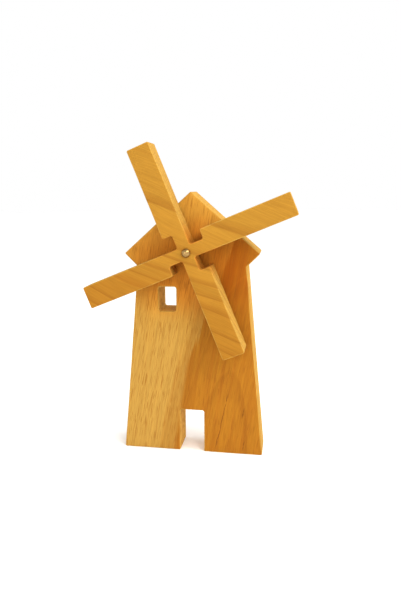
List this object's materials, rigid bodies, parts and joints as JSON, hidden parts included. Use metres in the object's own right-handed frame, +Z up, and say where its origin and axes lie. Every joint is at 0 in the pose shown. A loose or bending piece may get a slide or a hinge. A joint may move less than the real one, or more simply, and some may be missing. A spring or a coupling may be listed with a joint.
{
  "type": "toy windmill",
  "caption": "Board-cut wooden toy windmill with doorway, window and a one-piece pinwheel sail that spins on a round-head pin.",
  "frame": {"origin": "on the table, under the centre of the whole model's box", "axes": "+X to the right across the face, +Y from the sail back through the boards, +Z up"},
  "size_m": [0.1152, 0.0396, 0.1756],
  "materials": {
    "tower_wood": "oiled beech, flat-sawn, sanded, grain running up the tower",
    "sail_wood": "oiled beech, sanded, grain running diagonally across the blades",
    "pin_steel": "polished nickel-plated steel",
    "washer_steel": "zinc-plated steel"
  },
  "bodies": {
    "tower": {"tower_board": "tower_wood", "pivot_pin": "pin_steel", "spacer_washer": "washer_steel"},
    "sail": {"sail_cross": "sail_wood"}
  },
  "joints": [
    {"name": "sail_spin", "type": "hinge", "parent": "tower", "child": "sail", "pos_m": [0, -0.0094, 0.118], "axis": [0, -1, 0], "continuous": true}
  ]
}
